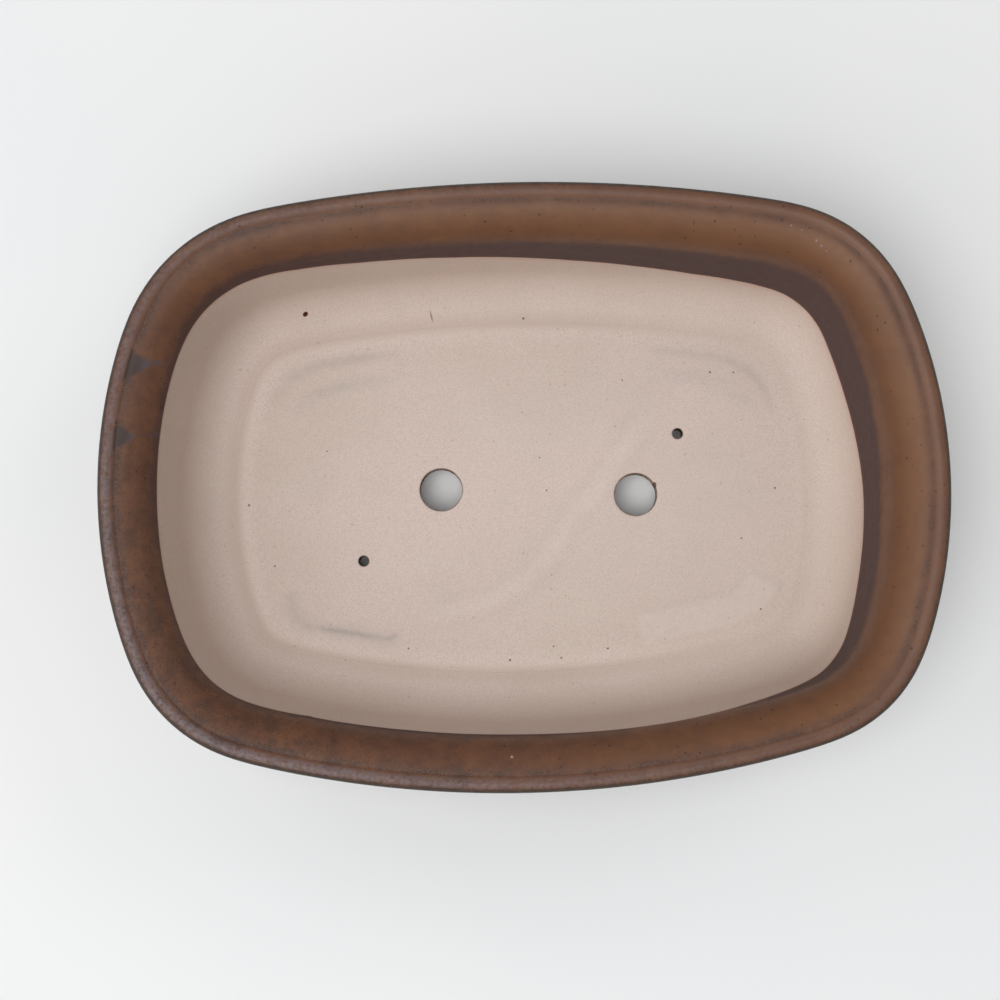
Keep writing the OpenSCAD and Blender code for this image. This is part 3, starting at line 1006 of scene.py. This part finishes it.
def inner_glaze_material():
    """Satin brown glaze with a painted yellow-brown highlight along the flare, purple brown below,
    dark in the lip's groove, and painted sheen on the bead.
    """
    n = Nodes("brown_glaze")
    lip, line = n.attribute("lip_gap"), n.attribute("line_gap")
    mottle, run = n.attribute("mottle"), n.attribute("run")
    wander = n.noise(11, 4, 0.6)
    colour = n.mix(n.span(n.noise(24, 4, 0.6), 0.32, 0.7), srgb(112, 75, 51), srgb(99, 65, 46))
    # Painted highlight, yellow brown, along the flare's upper curve, mostly on the less mottled
    # right and back
    flare_highlight = n.math("MULTIPLY", n.span(lip, 7.0, 10.0), n.span(lip, 11.0, 26.0, 1.0, 0.0))
    flare_highlight = n.math("MULTIPLY", flare_highlight, n.span(mottle, 0.1, 0.7, 0.45, 0.06))
    colour = n.mix(flare_highlight, colour, srgb(126, 84, 50))
    rusty = n.math("MULTIPLY", mottle, n.span(n.noise(4, 4, 0.7), 0.36, 0.66, 0.1, 0.6))
    colour = n.mix(rusty, colour, srgb(92, 58, 46))
    fuzz = n.math("MULTIPLY", n.math("SUBTRACT", n.noise(0.7, 3, 0.9), 0.5), 9.0)
    swing = n.math("MULTIPLY", n.math("SUBTRACT", wander, 0.5), 5.0)
    past = n.math("ADD", n.attribute("break_gap"), n.math("ADD", fuzz, swing))
    band = n.span(past, -3.4, 3.0, 1.0, 0.0)
    low = n.mix(n.span(mottle, 0.15, 0.5), srgb(76, 57, 55), srgb(74, 46, 40))
    colour = n.mix(n.math("MULTIPLY", band, 0.92), colour, low)
    # Pinkish on the bead's inner flank: partly painted highlight, partly the glaze breaking thin
    # over the edge
    bead_glint_and_break = n.math("MULTIPLY", n.span(lip, 3.2, 4.2), n.span(lip, 4.9, 5.6, 1.0, 0.0))
    colour = n.mix(n.math("MULTIPLY", bead_glint_and_break, 0.3), colour, srgb(140, 108, 92))
    groove = n.math("MULTIPLY", n.span(lip, 5.0, 6.0), n.span(lip, 6.6, 9.0, 1.0, 0.0))
    dark = n.math("MULTIPLY", groove, n.span(wander, 0.36, 0.62, 0.25, 1.0))
    share = n.math("ADD", n.math("MULTIPLY", dark, 0.55), n.math("MULTIPLY", mottle, 0.5))
    colour = n.mix(n.math("MULTIPLY", dark, 0.35), colour, srgb(66, 46, 38))
    cloudy = n.span(n.noise(7, 4, 0.65), 0.4, 0.66)
    cloudy = n.math("MULTIPLY", cloudy, n.math("MULTIPLY", mottle, 0.55))
    colour = n.mix(cloudy, colour, srgb(64, 46, 40))
    colour = n.mix(n.math("MULTIPLY", speckle(n, 0.6, share), 0.60), colour, srgb(42, 29, 25))
    colour = n.mix(n.math("MULTIPLY", n.specks(2.4, 0.5, 0.3), 0.6), colour, srgb(44, 28, 22))
    smoky = n.mix(n.span(lip, 8.0, 12.0), srgb(54, 44, 42), srgb(80, 74, 80))
    colour = n.mix(n.math("MULTIPLY", run, 0.85), colour, smoky)
    frayed = n.math("SUBTRACT", n.noise(1.6, 3, 0.7), 0.5)
    ragged = n.math("ADD", lip, n.math("MULTIPLY", frayed, 2.4))
    rim = n.span(ragged, 0.6, 1.8, 1.0, 0.0)
    colour = n.mix(n.math("MULTIPLY", rim, 0.8), colour, srgb(50, 45, 39))
    for x, y, radius, tint in BLISTERS:
        colour = n.mix(n.math("MULTIPLY", n.spot((x, y), radius, 0.2), 0.5), colour, srgb(*tint))
    # Lavender grey streaks on the bead, mostly at the left: painted sheen of the left lights,
    # partly the glaze breaking pale
    streaks = n.span(n.noise(1.6, 4, 0.8), 0.36, 0.62, 0.08, 0.72)
    lavender = n.math("MULTIPLY", n.math("MULTIPLY", bead_sheen_band(n, lip), mottle), streaks)
    colour = n.mix(lavender, colour, srgb(122, 112, 116))
    edge = n.span(line, 0.0, 0.9, 1.0, 0.0)
    colour = n.mix(n.math("MULTIPLY", edge, 0.7), colour, srgb(128, 66, 46))
    n.feed(n.shader.inputs["Base Color"], colour)
    rough = n.span(n.noise(3.0, 3), 0.3, 0.7, 0.46, 0.52)
    n.feed(n.shader.inputs["Roughness"], n.math("ADD", rough, n.math("MULTIPLY", band, 0.14)))
    n.shader.inputs["Specular IOR Level"].default_value = 0.34
    height = n.math("ADD", n.noise(0.9, 3, 0.6), n.math("MULTIPLY", n.noise(14.0, 2), 1.5))
    n.feed(n.shader.inputs["Normal"], n.bump(height, 0.04, 0.4))
    return n.material


def outer_glaze_material():
    """The same glaze outside, where it fired dark, breaking brown at its lower edge."""
    n = Nodes("dark_glaze")
    line, mottle = n.attribute("line_gap"), n.attribute("mottle")
    colour = n.mix(n.span(n.noise(18, 4, 0.6), 0.35, 0.7), srgb(58, 50, 42), srgb(44, 39, 35))
    cloudy = n.span(n.noise(5, 4, 0.65), 0.42, 0.7, 0.0, 0.5)
    colour = n.mix(cloudy, colour, srgb(84, 60, 44))
    colour = n.mix(n.span(line, 0.4, 5.0, 0.75, 0.0), colour, srgb(104, 68, 46))
    share = n.math("ADD", n.math("MULTIPLY", mottle, 0.3), 0.25)
    colour = n.mix(n.math("MULTIPLY", speckle(n, 0.9, share), 0.6), colour, srgb(26, 22, 20))
    n.feed(n.shader.inputs["Base Color"], colour)
    n.feed(n.shader.inputs["Roughness"], n.span(n.noise(4.0, 3), 0.3, 0.7, 0.28, 0.40))
    height = n.math("ADD", n.noise(1.3, 3, 0.6), n.math("MULTIPLY", n.noise(7.0, 2), 2.0))
    n.feed(n.shader.inputs["Normal"], n.bump(height, 0.06, 0.4))
    return n.material


def table_material():
    n = Nodes("pale_table")
    tint = n.span(n.noise(300, 2), 0.35, 0.65)
    n.feed(n.shader.inputs["Base Color"], n.mix(tint, srgb(243, 243, 241), srgb(240, 240, 240)))
    n.shader.inputs["Roughness"].default_value = 0.9
    return n.material


def set_material(obj, material):
    obj.data.materials.clear()
    obj.data.materials.append(material)


# ---------------------------------------------------------------- stage, light and camera
def build_stage():
    half = 3000.0
    verts = [(-half, -half, 0), (half, -half, 0), (half, half, 0), (-half, half, 0)]
    table = make_object("table_top", verts, [(0, 1, 2, 3)], smooth=False)
    set_material(table, table_material())


def aim(obj, target):
    away = Vector(target) - obj.location
    obj.rotation_euler = away.to_track_quat("-Z", "Y").to_euler()


# Even light from all round
WORLD_COLOUR = (0.95, 0.97, 1.0, 1.0)
WORLD_STRENGTH = 0.30

# Soft round lights: name, place, size in metres, power in watts and colour
WHITE = (1.0, 1.0, 1.0)
SKY = (0.86, 0.93, 1.0)
LIGHTS = (
    ("overhead", (-0.40, -0.42, 2.1), 1.6, 25.0, WHITE),
    ("front_left", (-1.2, -1.2, 1.3), 1.2, 4.5, WHITE),
    ("left", (-1.6, 0.0, 1.3), 1.2, 3.2, WHITE),
    ("window", (-2.0, -0.5, 0.75), 1.0, 3.0, SKY),
    ("back_left", (-1.2, 1.2, 1.3), 1.2, 3.0, WHITE),
    ("front", (0.0, -1.6, 1.3), 1.2, 2.0, WHITE),
    ("back_right", (1.3, 0.9, 1.3), 1.2, 4.2, WHITE),
)


def soft_light(name, place, size, power, colour):
    lamp = bpy.data.lights.new(name, "AREA")
    lamp.shape = "DISK"
    lamp.size = size
    lamp.energy = power
    lamp.color = colour
    obj = bpy.data.objects.new(name, lamp)
    obj.location = place
    bpy.context.scene.collection.objects.link(obj)
    aim(obj, (0, 0, 0.05))


def build_light():
    world = bpy.data.worlds.new("studio")
    bpy.context.scene.world = world
    world.use_nodes = True
    back = world.node_tree.nodes["Background"]
    back.inputs["Color"].default_value = WORLD_COLOUR
    back.inputs["Strength"].default_value = WORLD_STRENGTH
    for light in LIGHTS:
        soft_light(*light)
    bpy.context.scene.view_settings.view_transform = "Standard"


# The camera stands above the pot, a little in front of its middle; metres and millimetres
CAMERA_PLACE = (-0.0121, -0.0557, 0.7308)
CAMERA_AIM = (-0.0087, -0.0059, 0.075)
CAMERA_LENS = 67.76


def build_camera():
    lens = bpy.data.cameras.new("camera")
    lens.lens = CAMERA_LENS
    lens.sensor_width = 36.0
    lens.clip_start = 0.01
    obj = bpy.data.objects.new("camera", lens)
    obj.location = CAMERA_PLACE
    bpy.context.scene.collection.objects.link(obj)
    back = (Vector(CAMERA_PLACE) - Vector(CAMERA_AIM)).normalized()
    up = back.cross(Vector((1, 0, 0))).normalized()
    right = up.cross(back)
    obj.rotation_euler = Matrix((right, up, back)).transposed().to_euler()
    bpy.context.scene.camera = obj


# ---------------------------------------------------------------- the pot
def place(obj, node, slot, material):
    set_material(obj, material)
    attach(obj, "root")
    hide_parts(node)


def build_pot():
    ring = Round(STATION_STEP)
    clay = clay_material()
    place(build_wall(ring), "wall_shell", "bare_clay", clay)
    place(build_floor(ring), "floor_slab", "bare_clay", clay)
    feet = {
        "front_left": (-1, -1), "front_right": (1, -1),
        "back_left": (-1, 1), "back_right": (1, 1),
    }
    for where, (across, back) in feet.items():
        foot = build_foot("clay_foot_" + where, across, back)
        place(foot, "foot_" + where, "bare_clay", clay)
    place(build_rim(ring), "rim_coil", "bare_clay", clay)
    place(build_inner_glaze(ring), "inner_glaze", "brown_glaze", inner_glaze_material())
    place(build_outer_glaze(ring), "outer_glaze", "dark_glaze", outer_glaze_material())


build_camera()
build_light()
build_stage()
build_pot()
